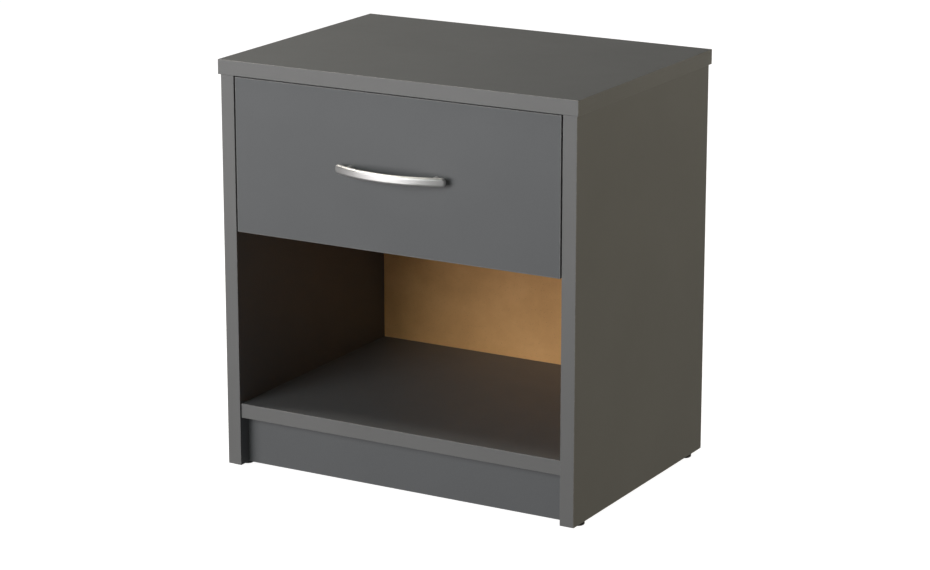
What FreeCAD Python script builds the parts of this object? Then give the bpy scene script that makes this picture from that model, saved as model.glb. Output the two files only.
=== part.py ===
import FreeCAD, Part
import math
import os
import re
import Sketcher

# Bedside table: a carcass of 15 mm faced chipboard with one drawer on roller runners above an
# open compartment. +X is the table's right seen from the front, +Y is its back, +Z is up, the
# floor is Z = 0, and the origin is below the middle of the whole outline, handle included.
# All lengths are millimetres.

SIZES = {
    # boards of the carcass
    "top_width": 400.0,
    "top_depth": 287.0,
    "top_overhang": 2.0,
    "body_width": 396.0,
    "side_depth": 282.0,
    "side_height": 403.0,
    "side_base": 4.0,
    "front_edge": -130.8,
    "board": 15.0,
    "band": 0.8,
    "band_round": 0.4,
    "shelf_set_back": 2.0,
    "plinth_set_back": 15.0,
    "plinth_height": 50.0,
    "back_thickness": 3.0,
    "back_margin": 2.0,
    # drawer front and box, heights counted from the lower edges of the side boards
    "front_bottom": 245.0,
    "front_gap": 1.5,
    "front_top_gap": 1.2,
    "box_bottom": 260.0,
    "box_height": 100.0,
    "box_length": 250.0,
    "box_board": 12.0,
    "box_gap": 12.5,
    "groove_rise": 8.0,
    "groove_depth": 6.0,
    "base_thickness": 3.0,
    "base_play": 0.3,
    # bow handle
    "hole_spacing": 96.0,
    "handle_rise": 1.5,
    "bow_half_chord": 61.0,
    "bow_rise": 15.75,
    "bow_end_reach": 5.5,
    "bow_height": 9.0,
    "bow_thickness": 5.5,
    "bow_end_round": 4.0,
    "bow_round": 2.4,
    "post_radius": 3.5,
    "post_length": 11.5,
    "post_bore_depth": 6.5,
    "handle_screw_radius": 2.0,
    "handle_hole_radius": 2.25,
    "handle_screw_head_radius": 4.0,
    "handle_screw_head_height": 2.5,
    # cam joinery
    "cam_radius": 7.5,
    "cam_depth": 12.5,
    "cam_play": 0.2,
    "cam_setback": 24.0,
    "cam_inset": 50.0,
    "box_cam_depth": 10.0,
    "bolt_bore_radius": 3.5,
    "bolt_thread_radius": 2.5,
    "bolt_thread_depth": 11.0,
    "bolt_thread_play": 0.05,
    "bolt_shank_radius": 2.8,
    "bolt_shank_length": 19.0,
    "bolt_neck_radius": 1.8,
    "bolt_head_radius": 3.2,
    "bolt_head_length": 3.0,
    "key_width": 1.6,
    "key_length": 9.0,
    "key_depth": 1.5,
    "plinth_cam_rise": 22.0,
    "plinth_dowel_rise": 38.0,
    "box_cam_low": 32.0,
    "box_cam_high": 80.0,
    "box_dowel_rise": 56.0,
    "dowel_radius": 4.0,
    "dowel_play": 0.05,
    "dowel_edge_depth": 20.0,
    "dowel_face_depth": 10.0,
    "dowel_inset": 92.0,
    # screws and nails
    "back_screw_radius": 1.75,
    "back_screw_length": 38.0,
    "back_screw_head_radius": 3.5,
    "back_screw_head_depth": 2.6,
    "back_screw_low": 20.0,
    "back_screw_high": 68.0,
    "nail_radius": 0.8,
    "nail_length": 20.0,
    "nail_head_radius": 2.2,
    "nail_head_height": 0.6,
    "nail_edge_inset": 24.0,
    "side_nail_pitch": 76.0,
    "shelf_nail_pitch": 110.0,
    # glides
    "glide_radius": 7.0,
    "glide_height": 4.0,
    "glide_round": 1.5,
    "glide_inset": 23.0,
    "glide_nail_radius": 1.2,
    "glide_nail_length": 16.0,
    "glide_floor": 2.0,
    # roller runners, heights counted from the lower edges of the drawer sides
    "steel": 1.0,
    "runner_length": 250.0,
    "runner_set_back": 17.0,
    "rail_drop": 14.0,
    "rail_width": 11.0,
    "rail_lip": 3.5,
    "rail_ceiling": 5.0,
    "rail_top": 18.0,
    "rail_window": 24.0,
    "slider_gap": 11.5,
    "slider_inner": 24.5,
    "slider_outer": 2.0,
    "slider_top": 8.0,
    "ear_drop": 9.0,
    "ear_length": 16.0,
    "roller_radius": 8.3,
    "roller_width": 7.4,
    "roller_gap": 2.3,
    "roller_bore": 2.06,
    "roller_round": 0.6,
    "rivet_radius": 2.0,
    "rivet_head_radius": 3.0,
    "rivet_head_height": 0.7,
    "front_roller_inset": 11.0,
    "front_roller_drop": 1.5,
    "rear_roller_inset": 8.0,
    "rear_roller_drop": 4.5,
    "runner_screw_radius": 1.6,
    "rail_screw_length": 13.0,
    "slider_screw_length": 8.0,
    "runner_screw_head_radius": 2.8,
    "runner_screw_head_height": 1.6,
    "runner_screw_first": 22.0,
    "runner_screw_pitch": 100.0,
    "rail_screw_rise": 12.0,
}
SHEET = "Sizes"
PLANES = {"X": "YZ_Plane", "Y": "XZ_Plane", "Z": "XY_Plane"}

doc = FreeCAD.newDocument("Nightstand")
sheet = doc.addObject("Spreadsheet::Sheet", SHEET)
for line, (alias, size) in enumerate(SIZES.items(), start=1):
    sheet.set(f"A{line}", alias.replace("_", " "))
    sheet.set(f"B{line}", str(size))
    sheet.setAlias(f"B{line}", alias)
doc.recompute()

subparts = []


def linked(expression):
    """Point each sheet alias in an expression at the sheet."""
    return re.sub(
        r"[a-z_]+",
        lambda word: f"{SHEET}.{word[0]}" if word[0] in SIZES else word[0],
        str(expression),
    )


def bind(obj, **properties):
    """Bind properties to the sheet; a double underscore stands for a dot."""
    for name, expression in properties.items():
        obj.setExpression(name.replace("__", "."), linked(expression))


def place(obj, x, y, z):
    """Bind an object's position to the sheet."""
    bind(obj, Placement__Base__x=x, Placement__Base__y=y, Placement__Base__z=z)


def keep(obj, label):
    """Make an object a sub-part: its label names its file."""
    obj.Label = label
    subparts.append(obj)
    return obj


# --- sketches and features of a body ---------------------------------------------------------


def new_body(label, x, y, z):
    """A sub-part's body with its origin at a bound position."""
    body = doc.addObject("PartDesign::Body", label)
    place(body, x, y, z)
    return keep(body, label)


def new_sketch(body, axis, offset="0"):
    """A sketch square to an axis, moved along that plane's normal by an offset."""
    plane = next(item for item in body.Origin.OriginFeatures if item.Role == PLANES[axis])
    sketch = body.newObject("Sketcher::SketchObject", f"{body.Label}_sketch")
    sketch.AttachmentSupport = [(plane, "")]
    sketch.MapMode = "FlatFace"
    bind(sketch, AttachmentOffset__Base__z=offset)
    return sketch


def pin_point(sketch, edge, end, across, up):
    """Hold a point at bound distances from the sketch's origin."""
    for kind, expression in (("DistanceX", across), ("DistanceY", up)):
        index = sketch.addConstraint(Sketcher.Constraint(kind, -1, 1, edge, end, 1.0))
        sketch.setExpression(f"Constraints[{index}]", linked(expression))


def draw_outline(sketch, corners):
    """A closed outline of straight edges through bound corners."""
    first = sketch.GeometryCount
    count = len(corners)
    ring = [
        FreeCAD.Vector(math.cos(2 * math.pi * step / count), math.sin(2 * math.pi * step / count), 0)
        for step in range(count)
    ]
    for step in range(count):
        sketch.addGeometry(Part.LineSegment(ring[step], ring[(step + 1) % count]), False)
    for step in range(count):
        following = first + (step + 1) % count
        sketch.addConstraint(Sketcher.Constraint("Coincident", first + step, 2, following, 1))
    for step, (across, up) in enumerate(corners):
        pin_point(sketch, first + step, 1, across, up)


def draw_rectangle(sketch, left, bottom, right, top):
    draw_outline(sketch, [(left, bottom), (right, bottom), (right, top), (left, top)])


def draw_circles(sketch, radius, centres):
    """Circles of one bound radius about bound centres."""
    for across, up in centres:
        edge = sketch.addGeometry(Part.Circle(FreeCAD.Vector(1, 1, 0), FreeCAD.Vector(0, 0, 1), 1), False)
        index = sketch.addConstraint(Sketcher.Constraint("Radius", edge, 1.0))
        sketch.setExpression(f"Constraints[{index}]", linked(radius))
        pin_point(sketch, edge, 3, across, up)


def pad(body, sketch, length, backwards=False):
    feature = body.newObject("PartDesign::Pad", f"{body.Label}_pad")
    feature.Profile = sketch
    feature.Reversed = backwards
    bind(feature, Length=length)
    doc.recompute()
    return feature


def pocket(body, sketch, depth, backwards):
    """Cut a sketch into a body, and make sure that it takes material away."""
    before = body.Shape.Volume
    feature = body.newObject("PartDesign::Pocket", f"{body.Label}_pocket")
    feature.Profile = sketch
    feature.Reversed = backwards
    bind(feature, Length=depth)
    doc.recompute()
    if body.Shape.Volume > before - 1e-3:
        raise RuntimeError(f"a pocket of {body.Label} cuts nothing")
    return feature


def face_sketch(body, face, extent):
    """A sketch on a board's face, and whether a cut into the board runs with its normal.

    face is a sign and an axis, such as +X, and extent is the board's size along that axis.
    """
    far = face[0] == "+"
    axis = face[1]
    if axis == "Y":
        offset = f"-1 * ({extent})" if far else "0"
        return new_sketch(body, axis, offset), far
    return new_sketch(body, axis, extent if far else "0"), not far


def drill(body, face, extent, radius, depth, centres):
    """Round holes into a face, centred at distances along the face's two axes."""
    sketch, backwards = face_sketch(body, face, extent)
    draw_circles(sketch, radius, centres)
    pocket(body, sketch, depth, backwards)


def mill(body, face, extent, depth, left, bottom, right, top):
    """A rectangular recess into a face."""
    sketch, backwards = face_sketch(body, face, extent)
    draw_rectangle(sketch, left, bottom, right, top)
    pocket(body, sketch, depth, backwards)


def board_body(label, x, y, z, width, depth, height):
    """A rectangular board whose lowest corner is the body's origin."""
    body = new_body(label, x, y, z)
    sketch = new_sketch(body, "Z")
    draw_rectangle(sketch, "0", "0", width, depth)
    pad(body, sketch, height)
    return body


def round_edges(body, radius, chosen):
    """Fillet the edges whose middle point a test accepts."""
    tip = body.Tip
    names = []
    for number, edge in enumerate(tip.Shape.Edges, start=1):
        middle = edge.valueAt((edge.FirstParameter + edge.LastParameter) / 2)
        if chosen(middle):
            names.append(f"Edge{number}")
    feature = body.newObject("PartDesign::Fillet", f"{body.Label}_fillet")
    feature.Base = (tip, names)
    bind(feature, Radius=radius)
    doc.recompute()


def band_body(label, x, y, z, width, depth, height, side):
    """An edge banding strip, rounded along its outer face.

    side is the sign and axis of the outer face.
    """
    body = board_body(label, x, y, z, width, depth, height)
    box = body.Tip.Shape.BoundBox
    index = "XYZ".index(side[1])
    limit = (box.XMax, box.YMax, box.ZMax)[index] if side[0] == "+" else 0.0
    round_edges(body, "band_round", lambda point: abs(point[index] - limit) < 1e-6)
    return body


def turned_body(label, x, y, z, outline):
    """A body turned about its own upright axis, its outline given as radius and height."""
    body = new_body(label, x, y, z)
    sketch = new_sketch(body, "X")
    draw_outline(sketch, outline)
    feature = body.newObject("PartDesign::Revolution", f"{label}_turned")
    feature.Profile = sketch
    feature.ReferenceAxis = (sketch, ["V_Axis"])
    doc.recompute()
    return body


# --- fasteners: cylinders along an axis, gathered in groups -----------------------------------

ALONG = {
    "+X": FreeCAD.Rotation(FreeCAD.Vector(0, 1, 0), 90),
    "-X": FreeCAD.Rotation(FreeCAD.Vector(0, 1, 0), -90),
    "+Y": FreeCAD.Rotation(FreeCAD.Vector(1, 0, 0), -90),
    "-Y": FreeCAD.Rotation(FreeCAD.Vector(1, 0, 0), 90),
    "+Z": FreeCAD.Rotation(),
    "-Z": FreeCAD.Rotation(FreeCAD.Vector(1, 0, 0), 180),
}


def shifted(point, way, distance):
    """A bound point moved along a signed axis by a bound distance."""
    moved = list(point)
    index = "XYZ".index(way[1])
    moved[index] = f"{point[index]} {way[0]} ({distance})"
    return tuple(moved)


def rod(way, point, start, radius, length):
    """A cylinder along a signed axis, starting a distance past a point."""
    cylinder = doc.addObject("Part::Cylinder", "Rod")
    cylinder.Placement = FreeCAD.Placement(FreeCAD.Vector(), ALONG[way])
    place(cylinder, *shifted(point, way, start))
    bind(cylinder, Radius=radius, Height=length)
    return cylinder


def gather(label, pieces):
    """Identical fasteners as one sub-part of separate solids."""
    group = doc.addObject("Part::MultiFuse", label)
    group.Shapes = pieces
    return keep(group, label)


def cam_bolt(way, point):
    """A cam bolt: way points from the board it is screwed into towards the cam."""
    neck_start = "bolt_shank_length"
    head_start = "cam_setback - bolt_head_length / 2"
    thread = "bolt_thread_radius - bolt_thread_play"
    return [
        rod(way, point, "-1 * bolt_thread_depth + 0.5", thread, "bolt_thread_depth - 0.5"),
        rod(way, point, "0", "bolt_shank_radius", neck_start),
        rod(way, point, neck_start, "bolt_neck_radius", f"{head_start} - {neck_start}"),
        rod(way, point, head_start, "bolt_head_radius", "bolt_head_length"),
    ]


def cam_lock(way, point, depth, bolt_way):
    """A cam in its pocket: way points out of the pocket's mouth, point is the mouth's centre.

    bolt_way is the way that the bolt comes in.
    """
    against = ("-" if bolt_way[0] == "+" else "+") + bolt_way[1]
    into = ("-" if way[0] == "+" else "+") + way[1]
    barrel = rod(into, point, "0", "cam_radius - cam_play", f"{depth} - cam_play")
    middle = shifted(point, into, "board / 2" if depth == "cam_depth" else "box_board / 2")
    throat = rod(against, middle, "-1 * bolt_head_length", "bolt_bore_radius", "cam_radius + bolt_head_length")
    key = doc.addObject("Part::Box", "Key")
    reach = {axis: "key_width" for axis in "XYZ"}
    reach[way[1]] = "2 * key_depth"
    long_axis = next(axis for axis in "XYZ" if axis not in (way[1], bolt_way[1]))
    reach[long_axis] = "key_length"
    bind(key, Length=reach["X"], Width=reach["Y"], Height=reach["Z"])
    place(key, *(f"{centre} - {reach[axis]} / 2" for centre, axis in zip(point, "XYZ")))
    tools = doc.addObject("Part::MultiFuse", "CamCuts")
    tools.Shapes = [throat, key]
    cut = doc.addObject("Part::Cut", "Cam")
    cut.Base = barrel
    cut.Tool = tools
    return cut


def dowel(way, point):
    """A dowel: way points into the board's edge, point lies where the boards meet."""
    return rod(
        way, point, "-1 * dowel_face_depth + 0.3", "dowel_radius - dowel_play",
        "dowel_face_depth + dowel_edge_depth - 0.6",
    )


def headed(way, point, radius, length, head_radius, head_height):
    """A screw or nail: way points along its shank, point is where the head meets the shank."""
    against = ("-" if way[0] == "+" else "+") + way[1]
    return [rod(way, point, "0", radius, length), rod(against, point, "0", head_radius, head_height)]


# --- shared positions -------------------------------------------------------------------------

SIDES = {"left": "-", "right": "+"}
TOP_UNDERSIDE = "side_base + side_height"
SHELF_UNDERSIDE = "side_base + plinth_height"
SHELF_FRONT = "front_edge + shelf_set_back"
SHELF_DEPTH = "side_depth - shelf_set_back"
PLINTH_FRONT = "front_edge + plinth_set_back"
INNER_HALF = "(body_width / 2 - board)"
INNER_WIDTH = "(body_width - 2 * board)"
BOX_HALF = "(body_width / 2 - board - box_gap)"
BOX_FRONT = "front_edge + board"
BOX_LOW = "side_base + box_bottom"
FRONT_WIDTH = "(body_width - 2 * board - 2 * front_gap)"
FRONT_HEIGHT = "(side_height - front_bottom - front_top_gap)"
FRONT_LOW = "side_base + front_bottom"
HANDLE_HEIGHT = f"{FRONT_LOW} + {FRONT_HEIGHT} / 2 + handle_rise"
CAM_PLACES = ("cam_inset", "side_depth - cam_inset")
DOWEL_PLACES = ("dowel_inset", "side_depth - dowel_inset")


def opposite(sign):
    return "+" if sign == "-" else "-"


# --- carcass ----------------------------------------------------------------------------------


def make_top():
    """The top board with three banded edges, drilled below for the sides' bolts and dowels."""
    left = "-1 * top_width / 2 + band"
    front = "front_edge - top_overhang"
    width = "top_width - 2 * band"
    depth = "top_depth - band"
    panel = board_body("top_panel", left, f"{front} + band", TOP_UNDERSIDE, width, depth, "board")
    columns = [f"top_width / 2 - band {sign} (body_width / 2 - board / 2)" for sign in "-+"]
    rows = [f"{row} + top_overhang - band" for row in CAM_PLACES]
    pins = [f"{row} + top_overhang - band" for row in DOWEL_PLACES]
    drill(panel, "-Z", "board", "bolt_thread_radius", "bolt_thread_depth", [(x, y) for x in columns for y in rows])
    drill(panel, "-Z", "board", "dowel_radius", "dowel_face_depth", [(x, y) for x in columns for y in pins])
    band_body("top_band_front", "-1 * top_width / 2", front, TOP_UNDERSIDE, "top_width", "band", "board", "-Y")
    band_body("top_band_left", "-1 * top_width / 2", f"{front} + band", TOP_UNDERSIDE, "band", depth, "board", "-X")
    band_body("top_band_right", "top_width / 2 - band", f"{front} + band", TOP_UNDERSIDE, "band", depth, "board", "+X")


def make_side(name):
    """A side board: cams near its top edge, bolt and dowel holes for the shelf and plinth."""
    sign = SIDES[name]
    corner = "-1 * body_width / 2" if name == "left" else "body_width / 2 - board"
    depth = "side_depth - band"
    side = board_body(
        f"side_panel_{name}", corner, "front_edge + band", "side_base", "board", depth, "side_height"
    )
    inner = f"{opposite(sign)}X"
    rows = [f"{row} - band" for row in CAM_PLACES]
    pins = [f"{row} - band" for row in DOWEL_PLACES]
    cam_rise = "side_height - cam_setback"
    drill(side, inner, "board", "cam_radius", "cam_depth", [(row, cam_rise) for row in rows])
    drill(side, "+Z", "side_height", "bolt_bore_radius", "cam_setback", [("board / 2", row) for row in rows])
    drill(side, "+Z", "side_height", "dowel_radius", "dowel_edge_depth", [("board / 2", row) for row in pins])
    shelf_rise = "plinth_height + board / 2"
    plinth_row = "plinth_set_back - band + board / 2"
    bolts = [(row, shelf_rise) for row in rows] + [(plinth_row, "plinth_cam_rise")]
    dowels = [(row, shelf_rise) for row in pins] + [(plinth_row, "plinth_dowel_rise")]
    drill(side, inner, "board", "bolt_thread_radius", "bolt_thread_depth", bolts)
    drill(side, inner, "board", "dowel_radius", "dowel_face_depth", dowels)
    band_body(f"side_band_{name}", corner, "front_edge", "side_base", "board", "band", "side_height", "-Y")


def make_shelf():
    """The bottom board with cams below, and its front banding."""
    left = f"-1 * {INNER_HALF}"
    depth = f"{SHELF_DEPTH} - band"
    shelf = board_body(
        "bottom_shelf", left, f"{SHELF_FRONT} + band", SHELF_UNDERSIDE, INNER_WIDTH, depth, "board"
    )
    rows = [f"{row} - shelf_set_back - band" for row in CAM_PLACES]
    pins = [f"{row} - shelf_set_back - band" for row in DOWEL_PLACES]
    columns = ("cam_setback", f"{INNER_WIDTH} - cam_setback")
    drill(shelf, "-Z", "board", "cam_radius", "cam_depth", [(x, y) for x in columns for y in rows])
    for face in ("-X", "+X"):
        drill(shelf, face, INNER_WIDTH, "bolt_bore_radius", "cam_setback", [(row, "board / 2") for row in rows])
        drill(shelf, face, INNER_WIDTH, "dowel_radius", "dowel_edge_depth", [(row, "board / 2") for row in pins])
    band_body("shelf_band", left, SHELF_FRONT, SHELF_UNDERSIDE, INNER_WIDTH, "band", "board", "-Y")


def make_plinth():
    """The upright plinth board below the shelf, with a cam at each end of its back face."""
    plinth = board_body(
        "plinth_board", f"-1 * {INNER_HALF}", PLINTH_FRONT, "side_base", INNER_WIDTH, "board", "plinth_height"
    )
    columns = ("cam_setback", f"{INNER_WIDTH} - cam_setback")
    drill(plinth, "+Y", "board", "cam_radius", "cam_depth", [(x, "plinth_cam_rise") for x in columns])
    for face in ("-X", "+X"):
        bolt_hole = [("board / 2", "plinth_cam_rise")]
        dowel_hole = [("board / 2", "plinth_dowel_rise")]
        drill(plinth, face, INNER_WIDTH, "bolt_bore_radius", "cam_setback", bolt_hole)
        drill(plinth, face, INNER_WIDTH, "dowel_radius", "dowel_edge_depth", dowel_hole)


def make_back():
    """The hardboard back over the rear edges, from the shelf's underside to the top, and its nails."""
    width = "body_width - 2 * back_margin"
    height = "side_height - plinth_height"
    rear = "front_edge + side_depth"
    board_body("back_panel", f"-1 * ({width}) / 2", rear, SHELF_UNDERSIDE, width, "back_thickness", height)
    places = []
    for sign in SIDES.values():
        column = f"0 {sign} (body_width / 2 - board / 2)"
        places += [(column, f"{SHELF_UNDERSIDE} + nail_edge_inset + {step} * side_nail_pitch") for step in range(5)]
    for step in (-1, 0, 1):
        places.append((f"{step} * shelf_nail_pitch", f"{SHELF_UNDERSIDE} + board / 2"))
    nails = []
    for x, z in places:
        point = (x, f"{rear} + back_thickness", z)
        nails += headed("-Y", point, "nail_radius", "nail_length", "nail_head_radius", "nail_head_height")
    gather("back_panel_nails", nails)


def make_carcass_joinery():
    """Cam bolts, cams and dowels that hold the carcass together."""
    bolts = []
    cams = []
    dowels = []
    shelf_level = f"{SHELF_UNDERSIDE} + board / 2"
    plinth_line = f"{PLINTH_FRONT} + board / 2"
    plinth_level = "side_base + plinth_cam_rise"
    for sign in SIDES.values():
        inwards = f"{opposite(sign)}X"
        middle = f"0 {sign} (body_width / 2 - board / 2)"
        face = f"0 {sign} {INNER_HALF}"
        cam_column = f"0 {sign} ({INNER_HALF} - cam_setback)"
        for row in CAM_PLACES:
            line = f"front_edge + {row}"
            bolts += cam_bolt("-Z", (middle, line, TOP_UNDERSIDE))
            cams.append(cam_lock(inwards, (face, line, f"{TOP_UNDERSIDE} - cam_setback"), "cam_depth", "-Z"))
            bolts += cam_bolt(inwards, (face, line, shelf_level))
            cams.append(cam_lock("-Z", (cam_column, line, SHELF_UNDERSIDE), "cam_depth", inwards))
        bolts += cam_bolt(inwards, (face, plinth_line, plinth_level))
        mouth = (cam_column, f"{PLINTH_FRONT} + board", plinth_level)
        cams.append(cam_lock("+Y", mouth, "cam_depth", inwards))
        for row in DOWEL_PLACES:
            line = f"front_edge + {row}"
            dowels.append(dowel("-Z", (middle, line, TOP_UNDERSIDE)))
            dowels.append(dowel(inwards, (face, line, shelf_level)))
        dowels.append(dowel(inwards, (face, plinth_line, "side_base + plinth_dowel_rise")))
    gather("carcass_cam_bolts", bolts)
    gather("carcass_cam_locks", cams)
    gather("carcass_dowels", dowels)


def make_glides():
    """Four nail-on glides under the side boards."""
    outline = [
        ("0", "0"),
        ("glide_radius", "0"),
        ("glide_radius", "glide_height"),
        ("glide_nail_radius", "glide_height"),
        ("glide_nail_radius", "glide_floor"),
        ("0", "glide_floor"),
    ]
    rows = {"front": "front_edge + glide_inset", "rear": "front_edge + side_depth - glide_inset"}
    nails = []
    for row, line in rows.items():
        for name, sign in SIDES.items():
            column = f"0 {sign} (body_width / 2 - board / 2)"
            glide = turned_body(f"glide_{row}_{name}", column, line, "side_base - glide_height", outline)
            rim = SIZES["glide_radius"]
            round_edges(
                glide, "glide_round",
                lambda point: abs(point.z) < 1e-6 and math.hypot(point.x, point.y) > rim - 1e-3,
            )
            foot = "side_base - glide_height + glide_floor"
            nails.append(rod("+Z", (column, line, foot), "0", "glide_nail_radius", "glide_nail_length"))
    gather("glide_nails", nails)


# --- roller runners ---------------------------------------------------------------------------


def runner_section(sign, points):
    """Section corners as distances from the side board's inner face, turned for one side."""
    return [(f"0 {opposite(sign)} ({across})", up) for across, up in points]


def make_cabinet_runner(name):
    """The fixed profile: a channel for the drawer's roller, with a screw flange above it."""
    sign = SIDES[name]
    runner = new_body(f"cabinet_runner_{name}", f"0 {sign} {INNER_HALF}", "front_edge + runner_set_back", BOX_LOW)
    floor_top = "-1 * rail_drop + steel"
    section = [
        ("0", "-1 * rail_drop"),
        ("rail_width", "-1 * rail_drop"),
        ("rail_width", "-1 * rail_drop + rail_lip"),
        ("rail_width - steel", "-1 * rail_drop + rail_lip"),
        ("rail_width - steel", floor_top),
        ("steel", floor_top),
        ("steel", "rail_ceiling"),
        ("rail_width - steel", "rail_ceiling"),
        ("rail_width - steel", "rail_ceiling + steel"),
        ("steel", "rail_ceiling + steel"),
        ("steel", "rail_top"),
        ("0", "rail_top"),
    ]
    sketch = new_sketch(runner, "Y")
    draw_outline(sketch, runner_section(sign, section))
    pad(runner, sketch, "runner_length", backwards=True)
    # the ceiling is cut away over the fixed roller
    window = new_sketch(runner, "Y")
    corners = [
        ("steel", "rail_ceiling"),
        ("rail_width", "rail_ceiling"),
        ("rail_width", "rail_ceiling + steel"),
        ("steel", "rail_ceiling + steel"),
    ]
    draw_outline(window, runner_section(sign, corners))
    pocket(runner, window, "rail_window", backwards=False)
    # holes in the web for the roller's rivet and the screws
    rivet_hole = new_sketch(runner, "X")
    draw_circles(rivet_hole, "rivet_radius", [("front_roller_inset", "-1 * front_roller_drop")])
    pocket(runner, rivet_hole, "steel", backwards=sign == "-")
    screw_holes = new_sketch(runner, "X")
    places = [(f"runner_screw_first + {step} * runner_screw_pitch", "rail_screw_rise") for step in range(3)]
    draw_circles(screw_holes, "runner_screw_radius", places)
    pocket(runner, screw_holes, "steel", backwards=sign == "-")


def make_drawer_runner(name):
    """The moving profile: it wraps the drawer side's lower edge and carries a roller on an ear."""
    sign = SIDES[name]
    runner = new_body(f"drawer_runner_{name}", f"0 {sign} {INNER_HALF}", BOX_FRONT, BOX_LOW)
    section = [
        ("slider_outer", "slider_top - steel"),
        ("slider_gap", "slider_top - steel"),
        ("slider_gap", "-1 * steel"),
        ("slider_inner", "-1 * steel"),
        ("slider_inner", "0"),
        ("box_gap", "0"),
        ("box_gap", "slider_top"),
        ("slider_outer", "slider_top"),
    ]
    sketch = new_sketch(runner, "Y")
    draw_outline(sketch, runner_section(sign, section))
    pad(runner, sketch, "runner_length", backwards=True)
    ear = new_sketch(runner, "Y", "-1 * (runner_length - ear_length)")
    corners = [
        ("slider_gap", "-1 * ear_drop"),
        ("box_gap", "-1 * ear_drop"),
        ("box_gap", "0"),
        ("slider_gap", "0"),
    ]
    draw_outline(ear, runner_section(sign, corners))
    pad(runner, ear, "ear_length", backwards=True)
    inwards = opposite(sign)
    hole = new_sketch(runner, "X", f"0 {inwards} slider_gap")
    centre = ("runner_length - rear_roller_inset", "-1 * rear_roller_drop")
    draw_circles(hole, "rivet_radius", [centre])
    pocket(runner, hole, "steel", backwards=inwards == "+")
    flange = new_sketch(runner, "Z", "-1 * steel")
    middle = f"0 {inwards} (box_gap + box_board / 2)"
    places = [(middle, f"runner_screw_first + {step} * runner_screw_pitch") for step in range(3)]
    draw_circles(flange, "runner_screw_radius", places)
    pocket(runner, flange, "steel", backwards=True)


def roller_axis(name, which):
    """The middle of a roller's inner end on its axis, for the fixed or the moving roller."""
    sign = SIDES[name]
    inner_end = f"0 {sign} ({INNER_HALF} - roller_gap)"
    if which == "cabinet":
        line = "front_edge + runner_set_back + front_roller_inset"
        return inner_end, line, f"{BOX_LOW} - front_roller_drop"
    line = f"{BOX_FRONT} + runner_length - rear_roller_inset"
    return inner_end, line, f"{BOX_LOW} - rear_roller_drop"


def make_roller(name, which):
    """A plastic roller, turned about the X axis, with a running bore."""
    label = f"{which}_roller_{name}"
    sign = SIDES[name]
    roller = new_body(label, *roller_axis(name, which))
    sketch = new_sketch(roller, "X")
    draw_circles(sketch, "roller_radius", [("0", "0")])
    pad(roller, sketch, "roller_width", backwards=sign == "+")
    tread = SIZES["roller_radius"]
    round_edges(roller, "roller_round", lambda point: math.hypot(point.y, point.z) > tread - 1e-3)
    bore = new_sketch(roller, "X")
    draw_circles(bore, "roller_bore", [("0", "0")])
    pocket(roller, bore, "roller_width", backwards=sign == "-")


def make_rivets():
    """The rollers' axle rivets: a shank through the steel, with a head at each end."""
    head = "rivet_head_height"
    span = "roller_gap + roller_width + 0.1"
    fixed = []
    moving = []
    for name, sign in SIDES.items():
        inwards = f"{opposite(sign)}X"
        x, y, z = roller_axis(name, "cabinet")
        web = (f"0 {sign} {INNER_HALF}", y, z)
        fixed.append(rod(inwards, web, "0", "rivet_radius", span))
        fixed.append(rod(inwards, web, span, "rivet_head_radius", head))
        fixed.append(rod(inwards, web, "steel", "rivet_head_radius", "roller_gap - steel - 0.1"))
        x, y, z = roller_axis(name, "drawer")
        ear = (f"0 {sign} ({INNER_HALF} - box_gap)", y, z)
        outwards = f"{sign}X"
        reach = "box_gap - roller_gap + 0.1"
        moving.append(rod(outwards, ear, f"-1 * {head}", "rivet_head_radius", head))
        moving.append(rod(outwards, ear, "0", "rivet_radius", reach))
        moving.append(rod(outwards, ear, reach, "rivet_head_radius", head))
        collar = "box_gap - steel - roller_gap - roller_width - 0.1"
        moving.append(rod(outwards, ear, "steel", "rivet_head_radius", collar))
    gather("cabinet_runner_rivets", fixed)
    gather("drawer_runner_rivets", moving)


def make_runner_screws():
    """The screws of the fixed profiles, and those of the moving profiles."""
    fixed = []
    moving = []
    shank = "runner_screw_radius"
    head = ("runner_screw_head_radius", "runner_screw_head_height")
    for sign in SIDES.values():
        for step in range(3):
            along = f"runner_screw_first + {step} * runner_screw_pitch"
            web = (
                f"0 {sign} ({INNER_HALF} - steel)",
                f"front_edge + runner_set_back + {along}",
                f"{BOX_LOW} + rail_screw_rise",
            )
            fixed += headed(f"{sign}X", web, shank, "rail_screw_length", *head)
            flange = (f"0 {sign} ({BOX_HALF} - box_board / 2)", f"{BOX_FRONT} + {along}", f"{BOX_LOW} - steel")
            moving += headed("+Z", flange, shank, "slider_screw_length", *head)
    gather("cabinet_runner_screws", fixed)
    gather("drawer_runner_screws", moving)


# --- drawer -----------------------------------------------------------------------------------


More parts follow.
